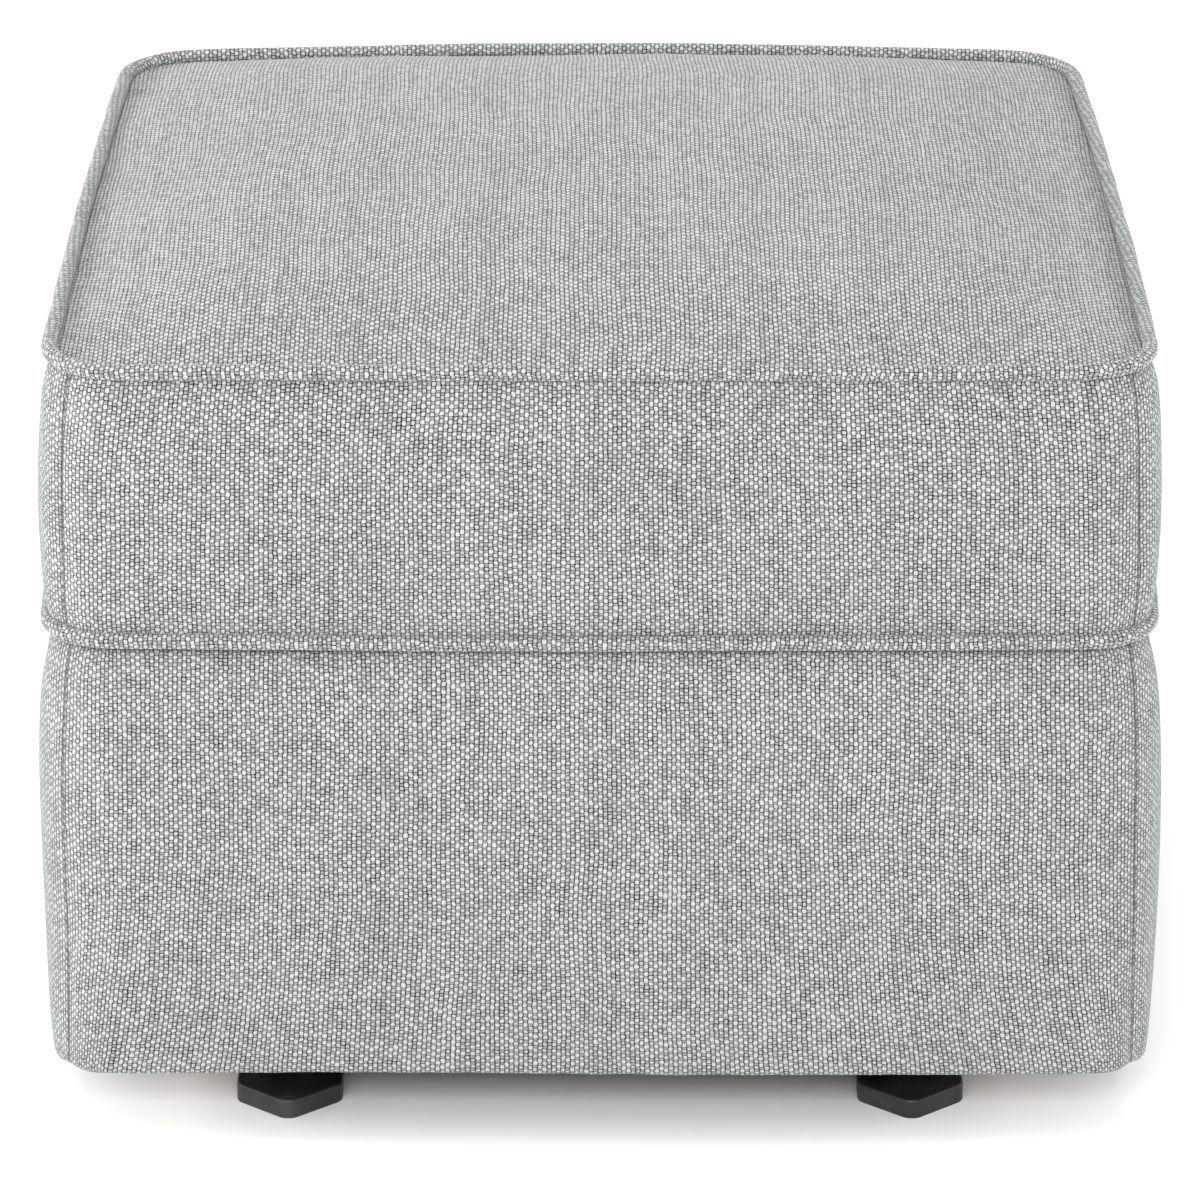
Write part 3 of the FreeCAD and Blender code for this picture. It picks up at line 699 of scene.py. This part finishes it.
def woven_cloth(name):
    """Chunky two-tone weave: columns of light rounded stitches with darker short ones between, the gaps
    darkened partly by painted shade.
    """
    g = Graph(name)
    cloth = g.attribute("cloth").outputs["Vector"]
    split = g.node("ShaderNodeSeparateXYZ", cloth)
    u, v, seed = split.outputs
    slow = g.noise(cloth, 10.0, 2.0)
    slow_up = g.noise(g.vector(v, u, seed), 10.0, 2.0)
    quick = g.noise(cloth, 260.0, 1.0)
    quick_up = g.noise(g.vector(v, u, seed), 260.0, 1.0)
    across = g.math("DIVIDE", u, COLUMN)
    across = g.math("MULTIPLY_ADD", slow, 2.4, across)
    across = g.math("MULTIPLY_ADD", quick, 0.5, across)
    column = g.math("FLOOR", across)
    side = g.math("ABSOLUTE", g.math("SUBTRACT", g.math("SUBTRACT", across, column), 0.5))
    column_chance = g.random(column, seed)
    up = g.math("DIVIDE", v, STITCH)
    up = g.math("MULTIPLY_ADD", column, 0.5, up)
    up = g.math("MULTIPLY_ADD", slow_up, 1.6, up)
    up = g.math("MULTIPLY_ADD", quick_up, 0.45, up)
    up = g.math("MULTIPLY_ADD", column_chance, 0.3, up)
    row = g.math("FLOOR", up)
    height = g.math("ABSOLUTE", g.math("SUBTRACT", g.math("SUBTRACT", up, row), 0.5))
    chance = g.random(column, row)

    def rounded(wide, tall):
        return g.math("ADD", g.math("POWER", wide, CORNER_POWER), g.math("POWER", tall, CORNER_POWER))

    dot_wide = g.math("DIVIDE", side, g.math("MULTIPLY_ADD", chance, DOT_HALF_WIDTH[1], DOT_HALF_WIDTH[0]))
    dot_tall = g.math("MULTIPLY_ADD", chance, DOT_HALF_HEIGHT[1], DOT_HALF_HEIGHT[0])
    dot = g.ramp(rounded(dot_wide, g.math("DIVIDE", height, dot_tall)), 1.35, 0.5)
    bar_wide = g.math("DIVIDE", side, BAR_HALF_WIDTH)
    bar_tall = g.math("DIVIDE", g.math("SUBTRACT", 0.5, height), BAR_HALF_HEIGHT)
    bar = g.ramp(rounded(bar_wide, bar_tall), 1.3, 0.5)
    streak_place = g.vector(g.math("MULTIPLY", column, 3.71), g.math("MULTIPLY", v, 34.0), seed)
    streak = g.ramp(g.noise(streak_place, 1.0, 1.0), 0.59, 0.74)
    line = g.math("MULTIPLY", streak, g.ramp(side, 0.40, 0.20))
    gap_light = g.math("MULTIPLY", g.random(row, g.math("ADD", column, 0.5)), GAP_LIGHT)
    dot_light = g.math("MULTIPLY", dot, g.math("MULTIPLY_ADD", chance, DOT_LIGHT[1], DOT_LIGHT[0]))
    light = g.math("MAXIMUM", dot_light, g.math("MULTIPLY", bar, BAR_LIGHT))
    light = g.math("MAXIMUM", light, g.math("MULTIPLY", line, STREAK_LIGHT))
    light = g.math("MAXIMUM", light, gap_light)
    fibre = g.noise(cloth, 2600.0, 2.0)
    patch = g.noise(cloth, 16.0, 3.0)
    light = g.math("MULTIPLY", light, g.math("MULTIPLY_ADD", fibre, 0.36, 0.80))
    light = g.math("MULTIPLY", light, g.math("MULTIPLY_ADD", patch, 0.26, 0.87))
    light = g.math("MULTIPLY", light, g.math("MULTIPLY_ADD", column_chance, 0.16, 0.92))
    # Painted shade: the cloth is darkened in a thin uneven line along its seams and under the welts, where
    # shade falls in the crease, and its relief is flattened there
    seam = g.attribute("seam").outputs["Fac"]
    wobble = g.math("MULTIPLY_ADD", g.math("SUBTRACT", quick, 0.5), 0.004, seam)
    seam_shade_clear = g.ramp(wobble, 0.0002, 0.0020)
    light = g.math("MULTIPLY", light, g.math("MULTIPLY_ADD", seam_shade_clear, 0.62, 0.38))
    # The gap colour is partly a darker yarn and partly painted shade in the hollows between the stitches
    colour = g.mix(light, GAP_YARN_AND_SHADE, LIGHT_YARN)
    relief = g.math("ADD", g.math("MULTIPLY", light, 0.85), g.math("MULTIPLY", fibre, 0.18))
    relief = g.math("MULTIPLY", relief, g.math("MULTIPLY_ADD", seam_shade_clear, 0.7, 0.3))
    g.bump(relief, RELIEF)
    return g.set(Base_Color=colour, Roughness=0.92, Sheen_Weight=0.22, Sheen_Roughness=0.45,
                 Sheen_Tint=(0.9, 0.95, 0.93, 1.0), Specular_IOR_Level=0.2)


def lining():
    """Thin black dust cloth with a faint pressed web."""
    g = Graph("dust_cloth")
    place = g.place()
    web = g.noise(place, 700.0, 3.0)
    colour = g.mix(web, (0.012, 0.012, 0.013, 1.0), (0.045, 0.045, 0.047, 1.0))
    g.bump(web, 0.0003)
    return g.set(Base_Color=colour, Roughness=0.95)


def moulded_plastic(name, dark, pale, rough):
    """Moulded plastic with a fine grain and a little dust."""
    g = Graph(name)
    place = g.place()
    grain = g.noise(place, 1400.0, 2.0)
    dust = g.ramp(g.noise(place, 60.0, 4.0), 0.45, 0.75)
    colour = g.mix(g.math("MULTIPLY", dust, 0.5), dark, pale)
    g.bump(grain, 0.00012)
    return g.set(Base_Color=colour, Roughness=g.math("MULTIPLY_ADD", dust, 0.15, rough))


def powder_coat(name, dark, pale):
    """Black powder coating with its orange-peel skin and faint scuffs."""
    g = Graph(name)
    place = g.place()
    peel = g.noise(place, 900.0, 1.0)
    scuff = g.ramp(g.noise(place, 45.0, 5.0), 0.58, 0.72)
    colour = g.mix(scuff, dark, pale)
    g.bump(peel, 0.00015)
    return g.set(Base_Color=colour, Roughness=g.math("MULTIPLY_ADD", scuff, 0.2, 0.38), Metallic=0.0,
                 Coat_Weight=0.15, Coat_Roughness=0.3)


def plated_steel(name, dark, pale, rough):
    """Bare or zinc plated steel with rolling marks and spotting."""
    g = Graph(name)
    place = g.place()
    stretched = g.node("ShaderNodeVectorMath", place, (1.0, 1.0, 0.06), operation="MULTIPLY").outputs[0]
    marks = g.noise(stretched, 900.0, 2.0)
    spots = g.noise(place, 120.0, 4.0)
    colour = g.mix(spots, dark, pale)
    g.bump(marks, 0.00006)
    return g.set(Base_Color=colour, Metallic=1.0, Roughness=g.math("MULTIPLY_ADD", marks, 0.2, rough))


def rubber():
    g = Graph("stop_rubber_grain")
    grain = g.noise(g.place(), 1100.0, 3.0)
    colour = g.mix(grain, (0.016, 0.016, 0.016, 1.0), (0.04, 0.04, 0.04, 1.0))
    g.bump(grain, 0.0002)
    return g.set(Base_Color=colour, Roughness=0.85)


def timber(name, stretch, dark, pale, rings):
    """Sawn wood with its grain along one axis."""
    g = Graph(name)
    place = g.node("ShaderNodeVectorMath", g.place(), stretch, operation="MULTIPLY").outputs[0]
    figure = g.noise(place, rings, 5.0)
    fine = g.noise(place, rings * 9, 3.0)
    bands = g.math("MULTIPLY", g.ramp(figure, 0.35, 0.65), 0.7)
    share = g.math("ADD", bands, g.math("MULTIPLY", fine, 0.3))
    colour = g.mix(share, dark, pale)
    g.bump(share, 0.0004)
    return g.set(Base_Color=colour, Roughness=0.75)


def dress_frame():
    """Gives the solids that stay in sight their finishes."""
    along_x, along_y = (0.05, 1.0, 1.0), (1.0, 0.05, 1.0)
    pine = ((0.42, 0.27, 0.13, 1.0), (0.70, 0.53, 0.32, 1.0))
    birch = ((0.50, 0.34, 0.18, 1.0), (0.74, 0.58, 0.38, 1.0))
    black_plastic = ((0.012, 0.012, 0.013, 1.0), (0.05, 0.05, 0.052, 1.0))
    zinc = ((0.52, 0.53, 0.55, 1.0), (0.78, 0.78, 0.76, 1.0))
    finishes = {
        "foot_plastic": moulded_plastic("foot_black", *black_plastic, 0.42),
        "base_steel": powder_coat("base_black", (0.014, 0.014, 0.015, 1.0), (0.05, 0.05, 0.052, 1.0)),
        "rail_steel": powder_coat("rail_black", (0.02, 0.02, 0.021, 1.0), (0.07, 0.07, 0.07, 1.0)),
        "link_steel": plated_steel("link_bare", (0.42, 0.42, 0.41, 1.0), (0.66, 0.66, 0.64, 1.0), 0.30),
        "zinc_fasteners": plated_steel("zinc_bright", *zinc, 0.22),
        "bush_nylon": moulded_plastic("bush_white", (0.80, 0.79, 0.74, 1.0), (0.62, 0.60, 0.54, 1.0), 0.40),
        "stop_rubber": rubber(),
        "softwood": timber("pine_y", along_y, *pine, 55.0),
        "plywood": timber("birch_x", along_x, *birch, 40.0),
    }
    along_side = timber("birch_y", along_y, *birch, 40.0)
    for part in frame["record"]["subparts"]:
        name, finish = part["node"], finishes.get(part["material_slot"])
        if finish is None:
            continue
        if name in ("box_board_left", "box_board_right"):
            finish = along_side
        for place in frame["nodes"][name].material_slots:
            place.material = finish


# Stage

def add_camera():
    data = bpy.data.cameras.new("camera")
    data.lens = CAMERA_LENS
    data.sensor_width = 36.0
    camera = bpy.data.objects.new("camera", data)
    camera.location = CAMERA_PLACE
    camera.rotation_euler = (math.radians(90.0 - CAMERA_PITCH), 0.0, 0.0)
    bpy.context.scene.collection.objects.link(camera)
    bpy.context.scene.camera = camera


def add_light(name, place, aim, size, power):
    data = bpy.data.lights.new(name, "AREA")
    data.shape = "RECTANGLE"
    data.size, data.size_y = size
    data.energy = power
    light = bpy.data.objects.new(name, data)
    light.location = place
    light.rotation_euler = (Vector(aim) - Vector(place)).to_track_quat("-Z", "Y").to_euler()
    bpy.context.scene.collection.objects.link(light)


def add_stage():
    g = Graph("floor_white")
    tone = g.mix(g.noise(g.place(), 3.0, 2.0), (0.90, 0.90, 0.90, 1.0), (0.93, 0.93, 0.93, 1.0))
    g.set(Base_Color=tone, Roughness=0.9, Specular_IOR_Level=0.1)
    corners = FLOOR_REACH * np.array([(-1, -1, 0), (1, -1, 0), (1, 1, 0), (-1, 1, 0)])
    floor = make_piece("floor", corners, [(0, 1, 2, 3)], g.material)
    world = bpy.data.worlds.new("studio")
    world.use_nodes = True
    world.node_tree.nodes["Background"].inputs["Color"].default_value = (1.0, 1.0, 1.0, 1.0)
    world.node_tree.nodes["Background"].inputs["Strength"].default_value = WORLD_STRENGTH
    bpy.context.scene.world = world
    bpy.context.scene.view_settings.view_transform = "Standard"
    for light in LIGHTS:
        add_light(*light)


def main():
    add_camera()
    cloth = woven_cloth("woven_cloth")
    add_cushion(cloth, lining())
    add_base(cloth)
    welt_cloth = woven_cloth("welt_weave")
    upper, lower = SEAM_HEIGHT + UPPER_WELT_LIFT, CUSHION_BOTTOM + LOWER_WELT_LIFT
    add_welt("piping_upper", "welt_upper", 1, upper, UPPER_WELT_OUTSET, welt_cloth)
    add_welt("piping_lower", "welt_lower", 0, lower, LOWER_WELT_OUTSET, welt_cloth)
    dress_frame()
    add_stage()


main()
